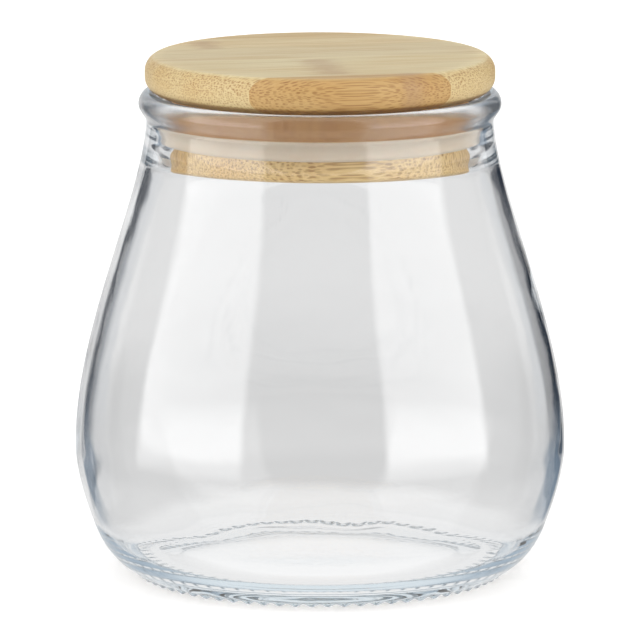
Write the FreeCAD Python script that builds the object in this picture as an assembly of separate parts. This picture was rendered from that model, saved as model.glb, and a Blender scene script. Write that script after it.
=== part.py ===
import FreeCAD, Part
import math
import os

# Storage canister: a pear-shaped glass jar, closed by a bamboo lid. The lid is a round board with a
# narrower plug glued under it, and a silicone ring round the plug presses against the jar's mouth.
# Every piece is turned about +Z. The origin is the centre of the foot, on the surface that the jar
# stands on. Lengths are in millimetres; profile points are (radius, height).

# ---- jar, outside ----
BELLY_R = 75.15
BELLY_Z = 39.6
FOOT_R = 57.0
FOOT_TOOTH_H = 0.95
HEEL_R = 69.4
HEEL_Z = 15.2
NECK_R = 52.95
NECK_Z = 139.2
BEAD_R = 55.35
BEAD_Z = 144.85

# ---- jar, inside ----
MOUTH_R = 49.5
MOUTH_BOTTOM_Z = 134.5
THROAT_R = 53.05
THROAT_Z = 125.5
INNER_BELLY_R = 73.1
INNER_BELLY_Z = 42.6
INNER_HEEL_R = 70.2
INNER_HEEL_Z = 22.5
FLOOR_EDGE_R = 55.6
FLOOR_Z = 6.0
FLOOR_CROWN = 0.9
LIP_R = 2.6
LIP_CENTRE_Z = 146.15

# ---- foot ----
FOOT_RING_INNER_R = 50.5
PUSH_UP_EDGE_R = 42.0
PUSH_UP_EDGE_Z = 2.5
PUSH_UP_Z = 3.0
TOOTH_COUNT = 72
TOOTH_R = 1.7
TOOTH_INNER_R = 53.3
TOOTH_OUTER_R = 55.9

# ---- lid board ----
LID_R = 53.4
LID_NOSE_R = 4.86
LID_BOTTOM_Z = 148.3
LID_TOP_Z = 159.5
LID_TOP_NOSE_DROP = 4.55

# ---- plug under the board, with the groove for the gasket ----
PLUG_R = 45.2
PLUG_BOTTOM_Z = 128.25
PLUG_EDGE_R = 1.5
GROOVE_R = 43.2
GROOVE_BOTTOM_Z = 135.6
GROOVE_TOP_Z = 139.7

# ---- gasket ----
GASKET_BOTTOM_Z = 134.1
GASKET_TOP_Z = 141.1
GASKET_RIB_R = 49.4
GASKET_WAIST_R = 48.6
GASKET_EDGE = 0.9

# ---- handles of the Bezier stretches: each pair lies between the two ends that it names ----
SHOULDER_HANDLES = ((54.65, 115.1), (BELLY_R, 74.3))
UPPER_HEEL_HANDLES = ((BELLY_R, 29.4), (70.26, 17.7))
LOWER_HEEL_HANDLES = ((68.4, 12.3), (65.1, 4.5))
UNDER_BEAD_HANDLES = ((BEAD_R, 142.6), (52.8, 141.3))
FLOOR_HANDLES = ((16.0, FLOOR_Z + FLOOR_CROWN), (32.0, FLOOR_Z))
INNER_CORNER_HANDLES = ((62.6, FLOOR_Z), (66.9, 10.3))
INNER_HEEL_HANDLES = ((71.95, 29.4), (INNER_BELLY_R, 35.1))
INNER_SHOULDER_HANDLES = ((INNER_BELLY_R, 73.0), (56.44, 108.5))
THROAT_HANDLES = ((52.35, 129.0), (MOUTH_R, 130.8))
RECESS_HANDLES = ((49.0, FOOT_TOOTH_H), (45.0, 2.05))
PUSH_UP_HANDLES = ((39.0, 2.95), (20.0, PUSH_UP_Z))
GASKET_RIB_BLEND = 1.0

# Handle length of a cubic Bezier curve that follows a quarter ellipse, as a part of its half-axis.
QUARTER = 0.5523


def at(point):
    """The point (radius, height) in the XZ half-plane that the profiles are drawn in."""
    return FreeCAD.Vector(point[0], 0, point[1])


def line(start, end):
    return Part.LineSegment(at(start), at(end)).toShape()


def curve(start, handles, end):
    """Cubic Bezier curve between two points, with a pair of handles."""
    bezier = Part.BezierCurve()
    bezier.setPoles([at(start), at(handles[0]), at(handles[1]), at(end)])
    return bezier.toShape()


def arc(centre, radius, from_deg, to_deg):
    """Circular arc; angles count from the outward direction, up."""
    stops = [from_deg, (from_deg + to_deg) / 2, to_deg]
    points = []
    for stop in stops:
        turn = math.radians(stop)
        points.append(at((centre[0] + radius * math.cos(turn), centre[1] + radius * math.sin(turn))))
    return Part.Arc(*points).toShape()


def turned(edges):
    """The solid that a closed profile sweeps about the Z axis."""
    face = Part.Face(Part.Wire(edges))
    return face.revolve(FreeCAD.Vector(0, 0, 0), FreeCAD.Vector(0, 0, 1), 360)


def jar_inside():
    """The inside, from the crowned floor round a tight corner and up to the top of the lip."""
    floor_centre = (0, FLOOR_Z + FLOOR_CROWN)
    floor_edge = (FLOOR_EDGE_R, FLOOR_Z)
    heel = (INNER_HEEL_R, INNER_HEEL_Z)
    belly = (INNER_BELLY_R, INNER_BELLY_Z)
    throat = (THROAT_R, THROAT_Z)
    mouth = (MOUTH_R, MOUTH_BOTTOM_Z)
    return [
        curve(floor_centre, FLOOR_HANDLES, floor_edge),
        curve(floor_edge, INNER_CORNER_HANDLES, heel),
        curve(heel, INNER_HEEL_HANDLES, belly),
        curve(belly, INNER_SHOULDER_HANDLES, throat),
        curve(throat, THROAT_HANDLES, mouth),
        line(mouth, (MOUTH_R, LIP_CENTRE_Z)),
        arc((MOUTH_R + LIP_R, LIP_CENTRE_Z), LIP_R, 180, 90),
    ]


def jar_outside():
    """The outside, from the top of the lip down over the bead, shoulder, belly and heel."""
    lip = (MOUTH_R + LIP_R, LIP_CENTRE_Z + LIP_R)
    bead = (BEAD_R, BEAD_Z)
    neck = (NECK_R, NECK_Z)
    belly = (BELLY_R, BELLY_Z)
    heel = (HEEL_R, HEEL_Z)
    lip_handle = (lip[0] + QUARTER * (BEAD_R - lip[0]), lip[1])
    bead_handle = (BEAD_R, BEAD_Z + QUARTER * (lip[1] - BEAD_Z))
    return [
        curve(lip, (lip_handle, bead_handle), bead),
        curve(bead, UNDER_BEAD_HANDLES, neck),
        curve(neck, SHOULDER_HANDLES, belly),
        curve(belly, UPPER_HEEL_HANDLES, heel),
        curve(heel, LOWER_HEEL_HANDLES, (FOOT_R, FOOT_TOOTH_H)),
    ]


def jar_underside():
    """The bearing ring and the shallow push-up inside it, in to the axis."""
    ring_edge = (FOOT_RING_INNER_R, FOOT_TOOTH_H)
    push_up_edge = (PUSH_UP_EDGE_R, PUSH_UP_EDGE_Z)
    push_up = (0, PUSH_UP_Z)
    return [
        line((FOOT_R, FOOT_TOOTH_H), ring_edge),
        curve(ring_edge, RECESS_HANDLES, push_up_edge),
        curve(push_up_edge, PUSH_UP_HANDLES, push_up),
        line(push_up, (0, FLOOR_Z + FLOOR_CROWN)),
    ]


def foot_tooth():
    """One radial bar of the foot's knurling: a round rod with domed ends, sunk in the ring."""
    start = FreeCAD.Vector(TOOTH_INNER_R, 0, TOOTH_R)
    end = FreeCAD.Vector(TOOTH_OUTER_R, 0, TOOTH_R)
    rod = Part.makeCylinder(TOOTH_R, TOOTH_OUTER_R - TOOTH_INNER_R, start, FreeCAD.Vector(1, 0, 0))
    return rod.fuse([Part.makeSphere(TOOTH_R, start), Part.makeSphere(TOOTH_R, end)]).removeSplitter()


def glass_jar():
    blank = turned(jar_inside() + jar_outside() + jar_underside())
    tooth = foot_tooth()
    teeth = []
    for number in range(TOOTH_COUNT):
        turn = (number + 0.5) * 360 / TOOTH_COUNT
        turned_tooth = tooth.copy()
        turned_tooth.rotate(FreeCAD.Vector(0, 0, 0), FreeCAD.Vector(0, 0, 1), turn)
        teeth.append(turned_tooth)
    return blank.fuse(teeth)


def lid_board():
    """The round board: a flat top, and a rounded nose that its top cuts off at a crisp edge."""
    nose_centre_r = LID_R - LID_NOSE_R
    low_centre_z = LID_BOTTOM_Z + LID_NOSE_R
    high_centre_z = LID_TOP_Z - LID_TOP_NOSE_DROP
    top_angle = math.degrees(math.asin(LID_TOP_NOSE_DROP / LID_NOSE_R))
    top_edge_r = nose_centre_r + LID_NOSE_R * math.cos(math.radians(top_angle))
    return turned([
        line((0, LID_BOTTOM_Z), (nose_centre_r, LID_BOTTOM_Z)),
        arc((nose_centre_r, low_centre_z), LID_NOSE_R, -90, 0),
        line((LID_R, low_centre_z), (LID_R, high_centre_z)),
        arc((nose_centre_r, high_centre_z), LID_NOSE_R, 0, top_angle),
        line((top_edge_r, LID_TOP_Z), (0, LID_TOP_Z)),
        line((0, LID_TOP_Z), (0, LID_BOTTOM_Z)),
    ])


def lid_plug():
    """The plug glued under the board, grooved for the gasket and eased at its lower edge."""
    edge_centre = (PLUG_R - PLUG_EDGE_R, PLUG_BOTTOM_Z + PLUG_EDGE_R)
    return turned([
        line((0, PLUG_BOTTOM_Z), (edge_centre[0], PLUG_BOTTOM_Z)),
        arc(edge_centre, PLUG_EDGE_R, -90, 0),
        line((PLUG_R, edge_centre[1]), (PLUG_R, GROOVE_BOTTOM_Z)),
        line((PLUG_R, GROOVE_BOTTOM_Z), (GROOVE_R, GROOVE_BOTTOM_Z)),
        line((GROOVE_R, GROOVE_BOTTOM_Z), (GROOVE_R, GROOVE_TOP_Z)),
        line((GROOVE_R, GROOVE_TOP_Z), (PLUG_R, GROOVE_TOP_Z)),
        line((PLUG_R, GROOVE_TOP_Z), (PLUG_R, LID_BOTTOM_Z)),
        line((PLUG_R, LID_BOTTOM_Z), (0, LID_BOTTOM_Z)),
        line((0, LID_BOTTOM_Z), (0, PLUG_BOTTOM_Z)),
    ])


def lid_gasket():
    """The silicone ring: seated in the groove, with two rounded ribs towards the mouth."""
    middle_z = (GASKET_BOTTOM_Z + GASKET_TOP_Z) / 2
    rib_r = GASKET_RIB_R - GASKET_EDGE
    low_z = GASKET_BOTTOM_Z + GASKET_EDGE
    high_z = GASKET_TOP_Z - GASKET_EDGE
    low_rib = (GASKET_RIB_R, low_z)
    high_rib = (GASKET_RIB_R, high_z)
    waist = (GASKET_WAIST_R, middle_z)
    low_handles = ((GASKET_RIB_R, low_z + GASKET_RIB_BLEND), (GASKET_WAIST_R, middle_z - GASKET_RIB_BLEND))
    high_handles = ((GASKET_WAIST_R, middle_z + GASKET_RIB_BLEND), (GASKET_RIB_R, high_z - GASKET_RIB_BLEND))
    return turned([
        line((GROOVE_R, GROOVE_BOTTOM_Z), (PLUG_R, GROOVE_BOTTOM_Z)),
        line((PLUG_R, GROOVE_BOTTOM_Z), (PLUG_R, GASKET_BOTTOM_Z)),
        line((PLUG_R, GASKET_BOTTOM_Z), (rib_r, GASKET_BOTTOM_Z)),
        arc((rib_r, low_z), GASKET_EDGE, -90, 0),
        curve(low_rib, low_handles, waist),
        curve(waist, high_handles, high_rib),
        arc((rib_r, high_z), GASKET_EDGE, 0, 90),
        line((rib_r, GASKET_TOP_Z), (PLUG_R, GASKET_TOP_Z)),
        line((PLUG_R, GASKET_TOP_Z), (PLUG_R, GROOVE_TOP_Z)),
        line((PLUG_R, GROOVE_TOP_Z), (GROOVE_R, GROOVE_TOP_Z)),
        line((GROOVE_R, GROOVE_TOP_Z), (GROOVE_R, GROOVE_BOTTOM_Z)),
    ])


os.makedirs("parts", exist_ok=True)
for make_piece in (glass_jar, lid_board, lid_plug, lid_gasket):
    piece = make_piece()
    piece.exportStep("parts/" + make_piece.__name__ + ".step")
    print(make_piece.__name__, "valid", piece.isValid(), "volume", round(piece.Volume), "mm3")
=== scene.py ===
import math

import bmesh
import bpy
import numpy as np
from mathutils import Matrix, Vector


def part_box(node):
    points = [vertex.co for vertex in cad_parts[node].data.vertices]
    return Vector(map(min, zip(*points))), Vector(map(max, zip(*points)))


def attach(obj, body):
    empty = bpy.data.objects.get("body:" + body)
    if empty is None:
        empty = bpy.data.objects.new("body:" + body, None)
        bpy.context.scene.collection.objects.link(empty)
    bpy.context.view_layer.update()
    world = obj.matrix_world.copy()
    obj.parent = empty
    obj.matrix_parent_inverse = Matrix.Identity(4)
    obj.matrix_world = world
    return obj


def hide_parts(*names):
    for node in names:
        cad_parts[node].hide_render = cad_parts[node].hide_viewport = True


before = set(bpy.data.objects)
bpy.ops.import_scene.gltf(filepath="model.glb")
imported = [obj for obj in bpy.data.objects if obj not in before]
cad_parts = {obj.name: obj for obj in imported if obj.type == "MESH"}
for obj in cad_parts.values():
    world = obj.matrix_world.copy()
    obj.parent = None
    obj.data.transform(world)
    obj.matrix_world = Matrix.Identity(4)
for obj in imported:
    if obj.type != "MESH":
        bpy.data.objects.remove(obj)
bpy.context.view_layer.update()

# Looks of a glass storage canister with a bamboo lid. All positions are in metres in the CAD frame:
# +Z up, the origin at the centre of the foot, the front towards -Y. Profile points are given in
# millimetres as (radius, height), like the CAD's, and scaled by MM.

MM = 0.001
BODY = "root"
SEED = 7

_, jar_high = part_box("glass_jar")
board_low, board_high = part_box("lid_board")
plug_low, plug_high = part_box("lid_plug")
gasket_low, gasket_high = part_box("lid_gasket")

# ---- jar profile, mm ----
BELLY_R = jar_high.x / MM
RIM_Z = jar_high.z / MM
BELLY_Z = 39.6
HEEL = (69.4, 15.2)
FOOT = (57.0, 0.95)
NECK = (52.95, 139.2)
BEAD = (55.35, 144.85)
MOUTH_R = 49.5
MOUTH_BOTTOM_Z = 134.5
THROAT = (53.05, 125.5)
LIP_R = 2.6
INNER_HEEL = (70.2, 22.5)
INNER_BELLY = (73.1, 42.6)
FLOOR_EDGE = (55.6, 6.0)
FLOOR_CENTRE = (0.0, 6.9)
RING_EDGE = (50.5, 0.95)
PUSH_UP_EDGE = (42.0, 2.5)
PUSH_UP = (0.0, 3.0)
QUARTER = 0.5523        # handle length of a Bezier quarter ellipse

# Bezier handles, named after the stretch of outline they shape
SHOULDER_HANDLE = (54.65, 115.1)
SHOULDER_Z = 74.3
UPPER_HEEL_HANDLE = (70.26, 17.7)
UPPER_HEEL_Z = 29.4
LOWER_HEEL_HANDLES = ((68.4, 12.3), (65.1, 4.5))
UNDER_BEAD_Z = 142.6
UNDER_BEAD_HANDLE = (52.8, 141.3)
FLOOR_HANDLE_R = (16.0, 32.0)
INNER_CORNER_R = 62.6
INNER_CORNER_HANDLE = (66.9, 10.3)
INNER_HEEL_HANDLE = (71.95, 29.4)
INNER_BELLY_Z = (35.1, 73.0)
INNER_SHOULDER_HANDLE = (56.44, 108.5)
THROAT_HANDLE = (52.35, 129.0)
MOUTH_HANDLE_Z = 130.8
PUSH_UP_RIM = ((49.0, RING_EDGE[1]), (45.0, 2.05))
PUSH_UP_HANDLES = ((39.0, 2.95), (20.0, PUSH_UP[1]))

# ---- unevenness of the glass, mm ----
OFF_CENTRE = 0.15
INSIDE_QUICK = 0.02
INSIDE_SLOW = 0.08
OUTSIDE_QUICK = 0.004
SLOW_LENGTHS = (40, 120)
QUICK_LENGTHS = (9, 26)
CALM_FOOT_Z = 14
CALM_RIM = 8
CALM_EASE = 16
HALF_WALL = 1.2

# ---- points round each ring ----
JAR_POINTS = 288
LID_POINTS = 256
ON_AXIS = 1e-6
HALVING_RADII = (12, 6, 3)

# ---- knurled foot, mm ----
TOOTH_COUNT = 72
TOOTH_SPAN = (52.6, 57.5)
TOOTH_EASE = (4.0, 1.3)
UNDERSIDE_Z = 2          # only the foot's underside lies lower
FINE_R = 48              # beyond this radius and below FINE_Z the rings are twice as fine
FINE_Z = 2.3

# ---- lid, mm ----
LID_R = board_high.x / MM
NOSE_R = 4.86
NOSE_DROP = 4.55
CREASE_EASE = 0.25
CREASE_ANGLE = 2         # degrees of the nose that the broken edge takes
PLUG_R = plug_high.x / MM
PLUG_EDGE_R = 1.5
GROOVE_R = 43.2
GROOVE_Z = (135.6, 139.7)
GASKET_R = gasket_high.x / MM
GASKET_WAIST_R = 48.6
GASKET_EDGE = 0.9
RIB_EASE = 1

WELD_GAP = 0.01          # mm
SHARP_ANGLE = math.radians(40)

# The bamboo strips run along a line turned this much from +X towards +Y.
GRAIN_TURN = math.radians(12)


# ---------------------------------------------------------------- meshes


def bezier(start, handles, end, steps):
    """Points along a cubic Bezier curve, without its start."""
    t = np.linspace(0, 1, steps + 1)[1:, None]
    a, b, c, d = (np.array(p, float) for p in (start, *handles, end))
    return (1 - t) ** 3 * a + 3 * (1 - t) ** 2 * t * b + 3 * (1 - t) * t ** 2 * c + t ** 3 * d


def straight(start, end, steps):
    """Points along a line, without its start."""
    t = np.linspace(0, 1, steps + 1)[1:, None]
    return (1 - t) * np.array(start, float) + t * np.array(end, float)


def round_arc(centre, radius, from_deg, to_deg, steps):
    """Points along a circular arc, without its start; angles count from the outward direction, up."""
    turn = np.radians(np.linspace(from_deg, to_deg, steps + 1)[1:])
    return np.stack([centre[0] + radius * np.cos(turn), centre[1] + radius * np.sin(turn)], 1)


def lathe(name, rings, counts, shift=None):
    """A mesh turned about Z from rings of (radius, height) in mm.

    counts gives each ring's number of points, 1 for a ring on the axis; next to each other they are
    equal, or one is twice the other. shift(radius, height, angle) may move a ring's points."""
    points = []
    first = []
    for (radius, height), count in zip(rings, counts):
        first.append(sum(len(p) for p in points))
        angle = np.arange(count) * 2 * math.pi / count
        r = np.full(count, radius)
        z = np.full(count, height)
        if shift:
            r, z = shift(r, z, angle)
        points.append(np.stack([r * np.sin(angle), -r * np.cos(angle), z], 1))
    faces = []
    for i in range(len(counts) - 1):
        faces += bridge(first[i], counts[i], first[i + 1], counts[i + 1])
    mesh = bpy.data.meshes.new(name)
    mesh.from_pydata((np.concatenate(points) * MM).tolist(), [], faces)
    made = bmesh.new()
    made.from_mesh(mesh)
    bmesh.ops.recalc_face_normals(made, faces=made.faces)
    made.to_mesh(mesh)
    made.free()
    mesh.shade_smooth()
    piece = bpy.data.objects.new(name, mesh)
    bpy.context.scene.collection.objects.link(piece)
    return piece


def bridge(a, a_count, b, b_count):
    """Faces between two rings whose points start at a and b."""
    if a_count == 1 or b_count == 1:
        pole, ring, count = (a, b, b_count) if a_count == 1 else (b, a, a_count)
        return [(pole, ring + j, ring + (j + 1) % count) for j in range(count)]
    if a_count == b_count:
        step = [(j, (j + 1) % a_count) for j in range(a_count)]
        return [(a + j, a + k, b + k, b + j) for j, k in step]
    coarse, fine, count = (a, b, a_count) if a_count < b_count else (b, a, b_count)
    faces = []
    for j in range(count):
        k = (j + 1) % count
        left, middle, right = fine + 2 * j, fine + 2 * j + 1, fine + 2 * k
        faces += [(coarse + j, left, middle), (coarse + j, middle, coarse + k), (coarse + k, middle, right)]
    return faces


def waves(seed, tall, number, around):
    """A smooth random unevenness over (angle, height in mm), about 1 high, as a function."""
    draw = np.random.default_rng(seed)
    parts = []
    for _ in range(number):
        parts.append((draw.integers(0, around), draw.uniform(*tall), draw.uniform(0, 2 * math.pi, 2)))

    def height_at(angle, z):
        total = np.zeros_like(angle)
        for turns, length, phase in parts:
            total += np.cos(turns * angle + phase[0]) * np.cos(2 * math.pi * z / length + phase[1])
        return total / math.sqrt(number)

    return height_at


def glass_shift():
    """The wall's unevenness, stronger inside than outside, and the teeth under the foot. The inside
    is a little off centre, so that the wall is thinner towards +X."""
    slow = waves(SEED, SLOW_LENGTHS, 12, 7)
    quick = waves(SEED + 1, QUICK_LENGTHS, 30, 26)
    inner_top = RIM_Z - LIP_R

    def shift(r, z, angle):
        above_foot = np.clip((z - CALM_FOOT_Z) / CALM_EASE, 0, 1)
        below_rim = np.clip((inner_top - CALM_RIM - z) / CALM_EASE, 0, 1)
        inside = r < outer_radius(z) - HALF_WALL
        inner = OFF_CENTRE * np.sin(angle) + INSIDE_QUICK * quick(angle, z) + INSIDE_SLOW * slow(angle, z)
        outer = -OUTSIDE_QUICK * (1 + np.clip(quick(angle, z) / 2, -1, 1))
        moved = r + above_foot * below_rim * np.where(inside, inner, outer)
        return moved, z - tooth_drop(r, z, angle)

    return shift


def tooth_drop(r, z, angle):
    """The knurled foot: how far soft radial ribs, with blunt outer ends, stand out below the ring."""
    rib = 0.5 - 0.5 * np.cos(TOOTH_COUNT * angle)
    inner = np.clip((r - TOOTH_SPAN[0]) / TOOTH_EASE[0], 0, 1)
    outer = np.clip((TOOTH_SPAN[1] - r) / TOOTH_EASE[1], 0, 1)
    ends = inner ** 2 * (3 - 2 * inner) * np.sqrt(1 - (1 - outer) ** 2)
    return np.where(z < UNDERSIDE_Z, FOOT[1] * rib * ends, 0.0)


def jar_inside():
    """The inner outline, from the floor's centre up to the top of the lip."""
    low_z, high_z = INNER_BELLY_Z
    mouth = (MOUTH_R, MOUTH_BOTTOM_Z)
    lip_start = (MOUTH_R, RIM_Z - LIP_R)
    floor_handles = ((FLOOR_HANDLE_R[0], FLOOR_CENTRE[1]), (FLOOR_HANDLE_R[1], FLOOR_EDGE[1]))
    return np.concatenate([
        [FLOOR_CENTRE],
        bezier(FLOOR_CENTRE, floor_handles, FLOOR_EDGE, 12),
        bezier(FLOOR_EDGE, ((INNER_CORNER_R, FLOOR_EDGE[1]), INNER_CORNER_HANDLE), INNER_HEEL, 40),
        bezier(INNER_HEEL, (INNER_HEEL_HANDLE, (INNER_BELLY[0], low_z)), INNER_BELLY, 12),
        bezier(INNER_BELLY, ((INNER_BELLY[0], high_z), INNER_SHOULDER_HANDLE), THROAT, 36),
        bezier(THROAT, (THROAT_HANDLE, (MOUTH_R, MOUTH_HANDLE_Z)), mouth, 10),
        straight(mouth, lip_start, 5),
        round_arc((MOUTH_R + LIP_R, RIM_Z - LIP_R), LIP_R, 180, 90, 8),
    ])


def jar_outside():
    """The outer outline, from the top of the lip down to the foot."""
    lip = (MOUTH_R + LIP_R, RIM_Z)
    belly = (BELLY_R, BELLY_Z)
    lip_handle = (lip[0] + QUARTER * (BEAD[0] - lip[0]), RIM_Z)
    bead_handle = (BEAD[0], BEAD[1] + QUARTER * (RIM_Z - BEAD[1]))
    return np.concatenate([
        bezier(lip, (lip_handle, bead_handle), BEAD, 8),
        bezier(BEAD, ((BEAD[0], UNDER_BEAD_Z), UNDER_BEAD_HANDLE), NECK, 10),
        bezier(NECK, (SHOULDER_HANDLE, (BELLY_R, SHOULDER_Z)), belly, 40),
        bezier(belly, ((BELLY_R, UPPER_HEEL_Z), UPPER_HEEL_HANDLE), HEEL, 14),
        bezier(HEEL, LOWER_HEEL_HANDLES, FOOT, 40),
    ])


def jar_underside():
    """The outline under the jar, from the foot to the middle of the push-up."""
    return np.concatenate([
        straight(FOOT, RING_EDGE, 18),
        bezier(RING_EDGE, PUSH_UP_RIM, PUSH_UP_EDGE, 10),
        bezier(PUSH_UP_EDGE, PUSH_UP_HANDLES, PUSH_UP, 14),
    ])


def outer_radius(z):
    """The jar's outer radius at heights z, mm."""
    outside = OUTSIDE[::-1]
    return np.interp(z, outside[:, 1], outside[:, 0])


OUTSIDE = jar_outside()


def ring_counts(rings, coarse, fine_zone=None):
    """Points for each ring: coarse, twice that in the fine zone, and ever fewer near the axis."""
    counts = []
    for radius, height in rings:
        if radius < ON_AXIS:
            counts.append(1)
            continue
        count = coarse
        for limit in HALVING_RADII:
            if radius < limit:
                count //= 2
        if fine_zone and fine_zone(radius, height):
            count = coarse * 2
        counts.append(count)
    return counts


def glass_jar():
    rings = np.concatenate([jar_inside(), OUTSIDE, jar_underside()])
    counts = ring_counts(rings, JAR_POINTS, lambda r, z: r > FINE_R and z < FINE_Z)
    return lathe("glass_jar_body", rings, counts, glass_shift())


def lid_board():
    """The board, with its top edge just broken where the flat top meets the nose."""
    low_z = board_low.z / MM
    top_z = board_high.z / MM
    centre_r = LID_R - NOSE_R
    top_angle = math.degrees(math.asin(NOSE_DROP / NOSE_R))
    nose_top = top_angle - CREASE_ANGLE
    high_centre = (centre_r, top_z - NOSE_DROP)
    nose_end = round_arc(high_centre, NOSE_R, 0, nose_top, 1)[0]
    crease_r = centre_r + NOSE_R * math.cos(math.radians(top_angle))
    rings = np.concatenate([
        [(0.0, low_z)],
        straight((0, low_z), (centre_r, low_z), 12),
        round_arc((centre_r, low_z + NOSE_R), NOSE_R, -90, 0, 16),
        straight((LID_R, low_z + NOSE_R), (LID_R, high_centre[1]), 3),
        round_arc(high_centre, NOSE_R, 0, nose_top, 14),
        bezier(nose_end, ((crease_r, top_z), (crease_r, top_z)), (crease_r - CREASE_EASE, top_z), 3),
        straight((crease_r - CREASE_EASE, top_z), (0, top_z), 14),
    ])
    return lathe("bamboo_board", rings, ring_counts(rings, LID_POINTS))


def lid_plug():
    """The plug, with an eased lower edge and a groove for the gasket."""
    low_z = plug_low.z / MM
    top_z = plug_high.z / MM
    edge = (PLUG_R - PLUG_EDGE_R, low_z + PLUG_EDGE_R)
    rings = np.concatenate([
        [(0.0, low_z)],
        straight((0, low_z), (edge[0], low_z), 12),
        round_arc(edge, PLUG_EDGE_R, -90, 0, 8),
        straight((PLUG_R, edge[1]), (PLUG_R, GROOVE_Z[0]), 4),
        straight((PLUG_R, GROOVE_Z[0]), (GROOVE_R, GROOVE_Z[0]), 2),
        straight((GROOVE_R, GROOVE_Z[0]), (GROOVE_R, GROOVE_Z[1]), 2),
        straight((GROOVE_R, GROOVE_Z[1]), (PLUG_R, GROOVE_Z[1]), 2),
        straight((PLUG_R, GROOVE_Z[1]), (PLUG_R, top_z), 4),
        straight((PLUG_R, top_z), (0, top_z), 12),
    ])
    piece = lathe("bamboo_plug", rings, ring_counts(rings, LID_POINTS))
    sharpen(piece)
    return piece


def lid_gasket():
    """The gasket: a tongue in the plug's groove and two shallow ribs outside."""
    low_z = gasket_low.z / MM
    top_z = gasket_high.z / MM
    middle = (GASKET_WAIST_R, (low_z + top_z) / 2)
    rib_r = GASKET_R - GASKET_EDGE
    low_rib = (GASKET_R, low_z + GASKET_EDGE)
    high_rib = (GASKET_R, top_z - GASKET_EDGE)
    over_low_rib = (GASKET_R, low_rib[1] + RIB_EASE)
    under_waist = (middle[0], middle[1] - RIB_EASE)
    over_waist = (middle[0], middle[1] + RIB_EASE)
    under_high_rib = (GASKET_R, high_rib[1] - RIB_EASE)
    outline = np.concatenate([
        [(GROOVE_R, GROOVE_Z[0])],
        straight((GROOVE_R, GROOVE_Z[0]), (PLUG_R, GROOVE_Z[0]), 2),
        straight((PLUG_R, GROOVE_Z[0]), (PLUG_R, low_z), 2),
        straight((PLUG_R, low_z), (rib_r, low_z), 3),
        round_arc((rib_r, low_rib[1]), GASKET_EDGE, -90, 0, 6),
        bezier(low_rib, (over_low_rib, under_waist), middle, 6),
        bezier(middle, (over_waist, under_high_rib), high_rib, 6),
        round_arc((rib_r, high_rib[1]), GASKET_EDGE, 0, 90, 6),
        straight((rib_r, top_z), (PLUG_R, top_z), 3),
        straight((PLUG_R, top_z), (PLUG_R, GROOVE_Z[1]), 2),
        straight((PLUG_R, GROOVE_Z[1]), (GROOVE_R, GROOVE_Z[1]), 2),
        straight((GROOVE_R, GROOVE_Z[1]), (GROOVE_R, GROOVE_Z[0]), 3),
    ])
    piece = lathe("silicone_gasket", outline, [LID_POINTS] * len(outline))
    weld(piece)
    sharpen(piece)
    return piece


def weld(piece):
    """Joins a ring-shaped piece's last ring to its first."""
    made = bmesh.new()
    made.from_mesh(piece.data)
    bmesh.ops.remove_doubles(made, verts=made.verts, dist=WELD_GAP * MM)
    bmesh.ops.recalc_face_normals(made, faces=made.faces)
    made.to_mesh(piece.data)
    made.free()


def sharpen(piece):
    """Keeps real corners crisp under smooth shading."""
    piece.data.set_sharp_from_angle(angle=SHARP_ANGLE)


# ---------------------------------------------------------------- node helpers


def add(tree, kind, settings=(), **inputs):
    """A new node. Inputs are sockets to link or plain values, named with _ for a space."""
    made = tree.nodes.new("ShaderNode" + kind)
    for name, value in dict(settings).items():
        setattr(made, name, value)
    for name, value in inputs.items():
        put(tree, made.inputs[name.replace("_", " ")], value)
    return made


def put(tree, socket, value):
    if isinstance(value, bpy.types.NodeSocket):
        tree.links.new(value, socket)
    else:
        socket.default_value = value


def calc(tree, operation, *values, clamp=False):
    """A Math node's result."""
    made = add(tree, "Math", {"operation": operation, "use_clamp": clamp})
    for socket, value in zip(made.inputs, values):
        put(tree, socket, value)
    return made.outputs[0]


def ramp_between(tree, value, low, high, to_low=0.0, to_high=1.0, smooth=True):
    """Maps value from low..high to to_low..to_high, and holds it beyond them."""
    made = add(tree, "MapRange", {"interpolation_type": "SMOOTHSTEP" if smooth else "LINEAR"})
    for name, number in (("From Min", low), ("From Max", high), ("To Min", to_low), ("To Max", to_high)):
        put(tree, made.inputs[name], number)
    put(tree, made.inputs["Value"], value)
    return made.outputs["Result"]


def blend(tree, share, a, b, how="MIX"):
    """Mixes two colours."""
    made = add(tree, "Mix", {"data_type": "RGBA", "blend_type": how})
    put(tree, made.inputs[0], share)
    put(tree, made.inputs[6], a)
    put(tree, made.inputs[7], b)
    return made.outputs[2]


def new_material(name):
    material = bpy.data.materials.new(name)
    material.use_nodes = True
    tree = material.node_tree
    return material, tree, tree.nodes["Principled BSDF"]


def rgb(r, g, b):
    """A colour written as it looks on screen, 0 to 255, as a linear colour."""
    linear = [((c / 255 + 0.055) / 1.055) ** 2.4 if c > 10 else c / 255 / 12.92 for c in (r, g, b)]
    return (*linear, 1.0)


# ---------------------------------------------------------------- materials


GLASS_IOR = 1.5
GLASS_ROUGH_MOST = 0.02
FILM_SCALE = 38.0
RIPPLE_SCALE = 120.0
RIM_HAZE = 0.16          # the rim's slightly dull skin
RIM_HAZE_FROM = (0.137, 0.145)
GLASS_TINT = (0.50, 0.74, 0.86, 1.0)
GLASS_DENSITY = 3.0


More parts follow.
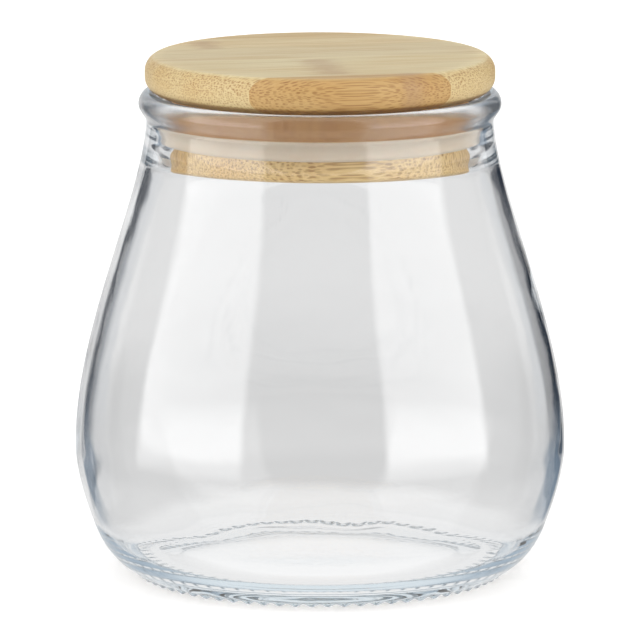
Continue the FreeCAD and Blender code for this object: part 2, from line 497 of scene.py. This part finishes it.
def glass_material():
    """Clear pressed glass, faintly blue through its thick parts, with a slightly rippled skin."""
    material, tree, shader = new_material("clear_glass")
    shader.inputs["Base Color"].default_value = (1, 1, 1, 1)
    shader.inputs["Transmission Weight"].default_value = 1.0
    shader.inputs["IOR"].default_value = GLASS_IOR
    where = add(tree, "TexCoord").outputs["Object"]
    film = add(tree, "TexNoise", Vector=where, Scale=FILM_SCALE, Detail=3.0).outputs["Fac"]
    film_rough = ramp_between(tree, film, 0.45, 0.8, 0.0, GLASS_ROUGH_MOST)
    height = add(tree, "SeparateXYZ", Vector=where).outputs["Z"]
    rough = calc(tree, "ADD", film_rough, ramp_between(tree, height, *RIM_HAZE_FROM, 0.0, RIM_HAZE))
    tree.links.new(rough, shader.inputs["Roughness"])
    ripple = add(tree, "TexNoise", Vector=where, Scale=RIPPLE_SCALE, Detail=1.0).outputs["Fac"]
    bump = add(tree, "Bump", Strength=0.04, Distance=0.0004, Height=ripple)
    tree.links.new(bump.outputs["Normal"], shader.inputs["Normal"])
    tint = add(tree, "VolumeAbsorption", Color=GLASS_TINT, Density=GLASS_DENSITY)
    tree.links.new(tint.outputs["Volume"], tree.nodes["Material Output"].inputs["Volume"])
    return material


# ---- bamboo, distances in mm ----
# Strips as (how far forward the front edge lies, tone), front first
BOARD_STRIPS = (
    (60.0, rgb(184, 150, 94)),
    (43.6, rgb(200, 180, 133)),
    (6.0, rgb(196, 175, 130)),
    (-21.0, rgb(200, 177, 129)),
    (-40.0, rgb(190, 162, 110)),
)
PLUG_STRIPS = (
    (60.0, rgb(232, 204, 146)),
    (14.0, rgb(226, 196, 136)),
    (-18.0, rgb(234, 206, 150)),
)
BUNDLE_SHADE = (0.58, 0.44, 0.32, 1.0)
# The board's lowest band: partly a darker ply, partly painted shade where the nose turns under towards the
# glass rim
LOW_PLY_AND_PAINTED_SHADE = (0.55, 0.44, 0.34, 1.0)
BOARD_TOP_PAINTED_SHEEN = (1.06, 1.16, 1.34, 1.0)     # painted sheen, which makes the top paler and greyer
PLUG_TOP_PAINTED_SHADE = (0.62, 0.45, 0.32, 1.0)      # painted shade, in the recess above the gasket
NODE_COLOUR = rgb(158, 124, 88)
# Culm nodes as (centre along the grain, distance towards the front, width, reach across)
BOARD_NODES = ((-4.0, 25.0, 9.0, 19.0), (-30.0, -28.0, 7.0, 10.0), (18.0, 47.0, 6.0, 5.0))
PLUG_NODES = ((17.0, -2.0, 6.0, 15.0),)
STRIP_SPAN = 60.0        # the strips lie between this far in front and as far behind
SWAY = 2.5
SWAY_SCALE = 0.12
SMALL_BUNDLES = (0.72, 0.37, 0.0)            # cell, dark share of it, sideways shift
LARGE_BUNDLES = (1.15, 0.30, 31.7)
SMALL_BUNDLE_SHARE = 0.85
RAGGED_SCALE = 0.22
RAGGED_PUSH = 9.0
NODE_SHARE = 0.5
STREAK_SCALE = 1.6
STREAK_COLOUR = rgb(226, 212, 190)
CLOUD_SCALE = 0.09
CLOUD_COLOUR = rgb(238, 214, 178)
TOP_DOTS = 0.4           # how much of the fibre dots shows on the top face
LOW_PLY_AND_SHADE_TOP = (2.3, 1.6)                     # top of the darker lowest band, ply and painted shade, above the board's underside
LARGE_BUNDLES_FROM = (3.5, 7.0)
OUT_OF_SIGHT = 20        # puts the plug's darker lowest band, ply and painted shade, below it, so that it has none
ABOVE_GASKET = 1         # where the plug's painted shade starts


def grain_space(tree):
    """Distances in mm: along the grain, towards the front across it, and up."""
    where = add(tree, "TexCoord").outputs["Object"]
    turned = add(tree, "VectorRotate", {"rotation_type": "Z_AXIS"}, Vector=where, Angle=-GRAIN_TURN)
    in_mm = add(tree, "VectorMath", {"operation": "SCALE"}, Vector=turned.outputs[0], Scale=1 / MM)
    split = add(tree, "SeparateXYZ", Vector=in_mm.outputs[0])
    along, back, up = split.outputs
    return along, calc(tree, "MULTIPLY", back, -1.0), up


def bundles(tree, along, across, up, cell, reach, shift):
    """How deep a point is in a dark fibre bundle, 0 to 1. Bundles run on along the grain, swaying a
    little. reach is how far the dark part goes from a bundle's middle, as a share of cell."""
    drift = add(tree, "CombineXYZ", X=calc(tree, "MULTIPLY", along, 0.03), Y=across, Z=up)
    sway = add(tree, "TexNoise", Vector=drift.outputs[0], Scale=SWAY_SCALE, Detail=1.0).outputs["Fac"]
    offset = calc(tree, "MULTIPLY", calc(tree, "SUBTRACT", sway, 0.5), SWAY)
    place = add(
        tree, "CombineXYZ",
        X=calc(tree, "ADD", across, calc(tree, "ADD", offset, shift)),
        Y=calc(tree, "ADD", up, offset),
    )
    kind = {"voronoi_dimensions": "2D", "feature": "F1"}
    cells = add(tree, "TexVoronoi", kind, Vector=place.outputs[0], Scale=1 / cell, Randomness=0.7)
    strength = add(tree, "SeparateColor", Color=cells.outputs["Color"]).outputs["Red"]
    dark = ramp_between(tree, cells.outputs["Distance"], reach, reach * 0.45)
    return calc(tree, "MULTIPLY", dark, ramp_between(tree, strength, 0.0, 1.0, 0.45, 1.0, smooth=False))


def strip_tones(tree, across, stops):
    """One tone for each glued strip: stops are (distance of its front edge, colour), front first."""
    made = add(tree, "ValToRGB", Fac=ramp_between(tree, across, STRIP_SPAN, -STRIP_SPAN, smooth=False))
    made.color_ramp.interpolation = "CONSTANT"
    elements = made.color_ramp.elements
    elements.remove(elements[1])
    elements[0].position = 0.0
    elements[0].color = stops[0][1]
    for edge, colour in stops[1:]:
        stop = elements.new((STRIP_SPAN - edge) / (2 * STRIP_SPAN))
        stop.color = colour
    return made.outputs["Color"]


def culm_node(tree, along, across, centre, front, width, reach):
    """A soft cross-band where a culm's node was: 0 to 1."""
    place = add(tree, "CombineXYZ", X=along, Y=across, Z=0.0)
    ragged = add(tree, "TexNoise", Vector=place.outputs[0], Scale=RAGGED_SCALE, Detail=3.0).outputs["Fac"]
    push = calc(tree, "MULTIPLY", calc(tree, "SUBTRACT", ragged, 0.5), RAGGED_PUSH)
    away = calc(tree, "ABSOLUTE", calc(tree, "SUBTRACT", calc(tree, "ADD", along, push), centre))
    beside = calc(tree, "ABSOLUTE", calc(tree, "SUBTRACT", across, front))
    band = ramp_between(tree, away, width, 0.0)
    inside = ramp_between(tree, beside, reach, reach * 0.75)
    return calc(tree, "MULTIPLY", band, inside)


def bamboo_material(name, strips, nodes, low_ply_and_shade_z, top_z, top_painted_light):
    """Laminated bamboo: tones by strip, fibre bundles along the grain, fine streaks, culm nodes and a
    darker lowest band, which starts at the lower height given: partly a darker ply, partly painted
    shade where the board's nose turns under towards the glass rim. From top_z up the tone is
    multiplied by the top colour given: painted sheen on the board's top, painted shade on the plug's."""
    material, tree, shader = new_material(name)
    along, across, up = grain_space(tree)
    tone = strip_tones(tree, across, strips)
    streak_place = add(tree, "CombineXYZ", X=calc(tree, "MULTIPLY", along, 0.02), Y=across, Z=up)
    streak_vector = streak_place.outputs[0]
    streaks = add(tree, "TexNoise", Vector=streak_vector, Scale=STREAK_SCALE, Detail=5.0, Roughness=0.65)
    tone = blend(tree, ramp_between(tree, streaks.outputs["Fac"], 0.3, 0.7, 0.0, 0.5), tone,
                 blend(tree, 1.0, tone, STREAK_COLOUR, "MULTIPLY"))
    cloud_place = add(tree, "CombineXYZ", X=calc(tree, "MULTIPLY", along, 0.3), Y=across, Z=up)
    cloud_vector = cloud_place.outputs[0]
    clouds = add(tree, "TexNoise", Vector=cloud_vector, Scale=CLOUD_SCALE, Detail=2.0).outputs["Fac"]
    tone = blend(tree, ramp_between(tree, clouds, 0.35, 0.7, 0.0, 0.35), tone,
                 blend(tree, 1.0, tone, CLOUD_COLOUR, "MULTIPLY"))
    # Painted light on the top: painted sheen on the board's top, painted shade on the plug's top above the
    # gasket
    top = ramp_between(tree, up, top_z - 0.7, top_z - 0.2)
    tone = blend(tree, top, tone, blend(tree, 1.0, tone, top_painted_light, "MULTIPLY"))
    small = bundles(tree, along, across, up, *SMALL_BUNDLES)
    large = bundles(tree, along, across, up, *LARGE_BUNDLES)
    high = ramp_between(tree, up, low_ply_and_shade_z + LARGE_BUNDLES_FROM[0], low_ply_and_shade_z + LARGE_BUNDLES_FROM[1])
    large_dots = calc(tree, "MULTIPLY", large, high)
    dots = calc(tree, "MAXIMUM", large_dots, calc(tree, "MULTIPLY", small, SMALL_BUNDLE_SHARE))
    shown = calc(tree, "MULTIPLY", dots, ramp_between(tree, top, 0.0, 1.0, 1.0, TOP_DOTS))
    colour = blend(tree, shown, tone, blend(tree, 1.0, tone, BUNDLE_SHADE, "MULTIPLY"))
    for centre, front, width, reach in nodes:
        mask = culm_node(tree, along, across, centre, front, width, reach)
        colour = blend(tree, calc(tree, "MULTIPLY", mask, NODE_SHARE), colour, NODE_COLOUR)
    # Darker lowest band: partly a darker ply, partly painted shade under the board's nose
    low = ramp_between(tree, up, low_ply_and_shade_z + LOW_PLY_AND_SHADE_TOP[0], low_ply_and_shade_z + LOW_PLY_AND_SHADE_TOP[1], smooth=False)
    colour = blend(tree, low, colour, blend(tree, 1.0, colour, LOW_PLY_AND_PAINTED_SHADE, "MULTIPLY"))
    tree.links.new(colour, shader.inputs["Base Color"])
    rough = ramp_between(tree, streaks.outputs["Fac"], 0.3, 0.7, 0.42, 0.56)
    tree.links.new(rough, shader.inputs["Roughness"])
    relief = calc(tree, "SUBTRACT", streaks.outputs["Fac"], calc(tree, "MULTIPLY", dots, 0.7))
    bump = add(tree, "Bump", Strength=0.35, Distance=0.00012, Height=relief)
    tree.links.new(bump.outputs["Normal"], shader.inputs["Normal"])
    return material


SILICONE_TONES = (rgb(204, 188, 166), rgb(216, 203, 184))
MOTTLE_SCALE = 160.0


def silicone_material():
    """Milky translucent silicone with faint moulding marks."""
    material, tree, shader = new_material("milky_silicone")
    where = add(tree, "TexCoord").outputs["Object"]
    mottle = add(tree, "TexNoise", Vector=where, Scale=MOTTLE_SCALE, Detail=3.0).outputs["Fac"]
    colour = blend(tree, mottle, *SILICONE_TONES)
    tree.links.new(colour, shader.inputs["Base Color"])
    tree.links.new(ramp_between(tree, mottle, 0.3, 0.7, 0.3, 0.42), shader.inputs["Roughness"])
    shader.inputs["Subsurface Weight"].default_value = 0.6
    shader.inputs["Subsurface Radius"].default_value = (1.0, 0.8, 0.7)
    shader.inputs["Subsurface Scale"].default_value = 0.002
    bump = add(tree, "Bump", Strength=0.15, Distance=0.0001, Height=mottle)
    tree.links.new(bump.outputs["Normal"], shader.inputs["Normal"])
    return material


FLOOR_GREY = (0.8, 0.8, 0.8, 1)
FLOOR_LIFT = 0.35
NEAR_FLOOR_LEVELS = (1.0, 0.84)      # under the jar's middle, a painted pool of light where light through the glass falls, and from its foot outwards
NEAR_FLOOR_DIM = (0.034, 0.052)
NEAR_FLOOR_FADE = (0.085, 0.110)


def floor_material():
    """A pale matt floor that reads as plain white, apart from the object's soft shadow. Through the
    glass and in reflections it glows white close to the object, brightest under the jar's middle as a
    painted pool of light where light through the glass falls; further off the studio shows."""
    material, tree, shader = new_material("pale_floor")
    shader.inputs["Base Color"].default_value = FLOOR_GREY
    shader.inputs["Roughness"].default_value = 0.9
    shader.inputs["Specular IOR Level"].default_value = 0.0
    shader.inputs["Emission Color"].default_value = (1, 1, 1, 1)
    shader.inputs["Emission Strength"].default_value = FLOOR_LIFT
    where = add(tree, "TexCoord").outputs["Object"]
    away = add(tree, "VectorMath", {"operation": "LENGTH"}, Vector=where).outputs["Value"]
    # Glow seen through the glass and in reflections, brighter under the jar's middle: a painted pool of
    # light
    glow_with_painted_pool = add(tree, "Emission", Strength=ramp_between(tree, away, *NEAR_FLOOR_DIM, *NEAR_FLOOR_LEVELS))
    open_air = add(tree, "BsdfTransparent")
    near = add(tree, "MixShader", Fac=ramp_between(tree, away, *NEAR_FLOOR_FADE, 1.0, 0.0))
    tree.links.new(open_air.outputs[0], near.inputs[1])
    tree.links.new(glow_with_painted_pool.outputs[0], near.inputs[2])
    path = add(tree, "LightPath").outputs
    shiny = calc(tree, "MAXIMUM", path["Is Glossy Ray"], path["Is Transmission Ray"])
    final = add(tree, "MixShader", Fac=shiny)
    tree.links.new(shader.outputs[0], final.inputs[1])
    tree.links.new(near.outputs[0], final.inputs[2])
    tree.links.new(final.outputs[0], tree.nodes["Material Output"].inputs["Surface"])
    return material


# ---------------------------------------------------------------- studio


# Levels of the studio round the object, where 1 is white
ROOM = 0.78
TABLE = 1.0
SOFTBOX = 2.4
LOW_SOFTBOX = 3.1        # the softboxes' brighter lower part
OVERHEAD = 1.4
FRONT_GAP = 0.4
SIDE = 0.5
REAR = 0.85
BACKDROP = 0.77
LOW_BACKDROP = 0.70
DEEP_REAR = 0.3          # the same lights for reflections that crossed the jar
DEEP_SOFTBOX = 1.4
INSIDE_GAIN = 1.5        # the room for matt surfaces inside the glass, which dims it

# Colours that light takes on inside the wall, by where it leaves, and the flags' own colours
GUIDED_LOW = (0.07, 0.085, 0.11, 1.0)
GUIDED_ASIDE = (0.33, 0.41, 0.49, 1.0)
GUIDED_ONWARD = (0.88, 0.89, 0.90, 1.0)
FLAG_COLOUR = (0.016, 0.022, 0.034, 1.0)
FLAG_LOW_COLOUR = (0.24, 0.31, 0.39, 1.0)

# Places in the studio, in degrees: turns count from the front (-Y) towards +X, rises up from level
LEFT_SOFTBOX = (-95, -37)
RIGHT_SOFTBOX = (31, 85)
SOFTBOX_RISE = (-9.0, 78.0)
SIDE_FROM = (80.0, 90.0)
REAR_FROM = (117.0, 123.0)
STRAIGHT_BACK = (166.0, 154.0)
DEEP_FADE = (-15.0, 15.0)
LOW_SOFTBOX_RISE = (2.0, 16.0)
CEILING_RISE = (60.0, 75.0)
TABLE_RISE = (-14.0, -24.0)
FAR_TABLE_RISE = (-28.0, -42.0)
BACKDROP_RISE = (-12.0, -9.0)
REAR_FLAG = 137.0
REAR_FLAG_ENDS = (152.0, 163.0)      # on the left and on the right
REAR_FLAG_RISE = (-32.0, 22.0)
EDGE_FLAG = (10.2, 18.5)
EDGE_FLAG_RISE = (-15.0, 8.0)
FLAG_LOW_RISE = (-8.0, -16.0)
ONWARD_FROM = (120.0, 165.0)
UPWARD_FROM = (-4.0, 4.0)

# Limits between whole counts: light reflected at least once or twice, light that went through at
# least one or three glass surfaces
MIRRORED_ONCE = 0.5
MIRRORED_TWICE = 1.5
PASSED_ONCE = 0.5
PASSED_WALL = 2.5


def studio_world():
    """A white studio. Seen directly it is plain white. In reflections there are two tall softboxes in
    front, a dim gap between them and dark flags behind. Through glass there are narrow dark flags,
    which draw the edges of the glass. Light that ran along inside the wall takes a bluish tone. Matt
    surfaces get the room and the softboxes."""
    world = bpy.data.worlds.new("studio")
    bpy.context.scene.world = world
    world.use_nodes = True
    tree = world.node_tree
    direction = add(tree, "SeparateXYZ", Vector=add(tree, "TexCoord").outputs["Generated"])
    x, y, z = direction.outputs
    turn = calc(tree, "DEGREES", calc(tree, "ARCTAN2", x, calc(tree, "MULTIPLY", y, -1.0)))
    rise = calc(tree, "DEGREES", calc(tree, "ARCSINE", z))
    left_box = softbox(tree, turn, rise, *LEFT_SOFTBOX)
    box = calc(tree, "MAXIMUM", left_box, softbox(tree, turn, rise, *RIGHT_SOFTBOX))
    path = add(tree, "LightPath").outputs
    deep = calc(tree, "GREATER_THAN", path["Transmission Depth"], PASSED_WALL)

    room = choose(tree, box, ROOM, SOFTBOX)
    inside = calc(tree, "GREATER_THAN", path["Transmission Depth"], PASSED_ONCE)
    room = calc(tree, "MULTIPLY", room, choose(tree, inside, 1.0, INSIDE_GAIN))
    mirrored, mirrored_dark = mirrored_studio(tree, turn, rise, box, deep)
    through, through_dark = seen_through(tree, turn, rise)
    reflected = calc(tree, "GREATER_THAN", path["Glossy Depth"], MIRRORED_ONCE)
    scattered = calc(tree, "GREATER_THAN", path["Diffuse Depth"], MIRRORED_ONCE)
    level = choose(tree, reflected, through, mirrored)
    dark = choose(tree, reflected, through_dark, mirrored_dark)
    grey = as_grey(tree, level)
    flag = blend(tree, ramp_between(tree, rise, *FLAG_LOW_RISE), FLAG_COLOUR, FLAG_LOW_COLOUR)
    colour = blend(tree, dark, grey, flag)
    guided = calc(tree, "GREATER_THAN", path["Glossy Depth"], MIRRORED_TWICE)
    onward = ramp_between(tree, calc(tree, "ABSOLUTE", turn), *ONWARD_FROM)
    upward = ramp_between(tree, rise, *UPWARD_FROM)
    aside = blend(tree, upward, GUIDED_LOW, blend(tree, onward, GUIDED_ASIDE, GUIDED_ONWARD))
    colour = blend(tree, guided, colour, aside)
    colour = blend(tree, scattered, colour, as_grey(tree, room))
    colour = blend(tree, path["Is Camera Ray"], colour, (1, 1, 1, 1))
    tree.links.new(colour, tree.nodes["Background"].inputs["Color"])
    tree.nodes["Background"].inputs["Strength"].default_value = 1.0


def as_grey(tree, level):
    return add(tree, "CombineColor", Red=level, Green=level, Blue=level).outputs[0]


def choose(tree, share, a, b):
    """a where share is 0, b where it is 1."""
    made = add(tree, "Mix", {"data_type": "FLOAT"})
    for socket, value in zip((0, 2, 3), (share, a, b)):
        put(tree, made.inputs[socket], value)
    return made.outputs[0]


def between(tree, value, low, high, soft):
    """1 from low to high and 0 outside, changing over soft on each side."""
    start = ramp_between(tree, calc(tree, "SUBTRACT", value, low), -soft, soft)
    end = ramp_between(tree, calc(tree, "SUBTRACT", value, high), soft, -soft)
    return calc(tree, "MULTIPLY", start, end)


def softbox(tree, turn, rise, left, right):
    """1 in a tall softbox between two turns from the front, in degrees, and 0 outside it."""
    across = between(tree, turn, left, right, 2.5)
    return calc(tree, "MULTIPLY", across, between(tree, rise, *SOFTBOX_RISE, 3.0))


def mirrored_studio(tree, turn, rise, box, deep):
    """What shiny surfaces reflect, going round from the front: a dim gap, the softboxes, a dimmer
    side, a rear light, a dark flag and the backdrop; a light ceiling and a white table. Where deep
    is 1, for light that crossed the jar, the lights are dimmer and their lower edges softer."""
    away = calc(tree, "ABSOLUTE", turn)
    level = choose(tree, ramp_between(tree, away, *SIDE_FROM), FRONT_GAP, SIDE)
    dim = calc(tree, "MULTIPLY", deep, ramp_between(tree, away, *STRAIGHT_BACK))
    level = choose(tree, ramp_between(tree, away, *REAR_FROM), level, choose(tree, dim, REAR, DEEP_REAR))
    fade = choose(tree, deep, 1.0, ramp_between(tree, rise, *DEEP_FADE))
    near = ramp_between(tree, rise, *LOW_SOFTBOX_RISE, LOW_SOFTBOX, SOFTBOX)
    level = choose(tree, calc(tree, "MULTIPLY", box, fade), level, choose(tree, deep, near, DEEP_SOFTBOX))
    level = choose(tree, ramp_between(tree, rise, *CEILING_RISE), level, OVERHEAD)
    level = choose(tree, ramp_between(tree, rise, *TABLE_RISE), level, TABLE)
    flag_end = choose(tree, calc(tree, "GREATER_THAN", turn, 0.0), *REAR_FLAG_ENDS)
    across = between(tree, away, REAR_FLAG, flag_end, 2.0)
    dark = calc(tree, "MULTIPLY", across, between(tree, rise, *REAR_FLAG_RISE, 6.0))
    return level, dark


def seen_through(tree, turn, rise):
    """What shows through the glass: the backdrop, dimmer low down, then the table, and a narrow dark
    flag on both sides of each of the eight main directions."""
    level = ramp_between(tree, rise, *BACKDROP_RISE, LOW_BACKDROP, BACKDROP, smooth=False)
    level = choose(tree, ramp_between(tree, rise, *FAR_TABLE_RISE), level, TABLE)
    eighth = calc(tree, "PINGPONG", turn, 22.5)
    across = between(tree, eighth, *EDGE_FLAG, 1.2)
    dark = calc(tree, "MULTIPLY", across, between(tree, rise, *EDGE_FLAG_RISE, 3.0))
    return level, dark


FLOOR_HALF = 60.0


def floor():
    half = FLOOR_HALF
    mesh = bpy.data.meshes.new("floor")
    corners = [(-half, -half, 0), (half, -half, 0), (half, half, 0), (-half, half, 0)]
    mesh.from_pydata(corners, [], [(0, 1, 2, 3)])
    plane = bpy.data.objects.new("floor", mesh)
    bpy.context.scene.collection.objects.link(plane)
    plane.data.materials.append(floor_material())


# ---- camera: a long lens, a little above the object ----
CAMERA_DISTANCE = 2.1455
CAMERA_PITCH = math.radians(10.32)
CAMERA_LENS = 393.75
CAMERA_TARGET_Z = 0.0775
CAMERA_SENSOR = 36.0
CAMERA_REACH = 500.0

# ---- light passes: thick glass needs many ----
ALL_BOUNCES = 64
GLASS_BOUNCES = 60


def camera():
    data = bpy.data.cameras.new("camera")
    data.lens = CAMERA_LENS
    data.sensor_width = CAMERA_SENSOR
    data.clip_end = CAMERA_REACH
    eye = bpy.data.objects.new("camera", data)
    bpy.context.scene.collection.objects.link(eye)
    eye.location = (
        0.0,
        -CAMERA_DISTANCE * math.cos(CAMERA_PITCH),
        CAMERA_TARGET_Z + CAMERA_DISTANCE * math.sin(CAMERA_PITCH),
    )
    eye.rotation_euler = (math.radians(90) - CAMERA_PITCH, 0.0, 0.0)
    bpy.context.scene.camera = eye


# ---------------------------------------------------------------- the scene


def place(piece, node, slot_name, material):
    piece.data.materials.append(material)
    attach(piece, BODY)
    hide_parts(node)


camera()
floor()
studio_world()
place(glass_jar(), "glass_jar", "glass", glass_material())
board_bamboo = bamboo_material(
    "bamboo_board", BOARD_STRIPS, BOARD_NODES,
    board_low.z / MM, board_high.z / MM, BOARD_TOP_PAINTED_SHEEN,
)
place(lid_board(), "lid_board", "bamboo_board", board_bamboo)
plug_bamboo = bamboo_material(
    "bamboo_plug", PLUG_STRIPS, PLUG_NODES,
    plug_low.z / MM - OUT_OF_SIGHT, gasket_high.z / MM + ABOVE_GASKET, PLUG_TOP_PAINTED_SHADE,
)
place(lid_plug(), "lid_plug", "bamboo_plug", plug_bamboo)
place(lid_gasket(), "lid_gasket", "gasket", silicone_material())

scene = bpy.context.scene
scene.view_settings.view_transform = "Standard"
scene.cycles.use_denoising = True
scene.cycles.max_bounces = ALL_BOUNCES
scene.cycles.transmission_bounces = GLASS_BOUNCES
scene.cycles.glossy_bounces = GLASS_BOUNCES
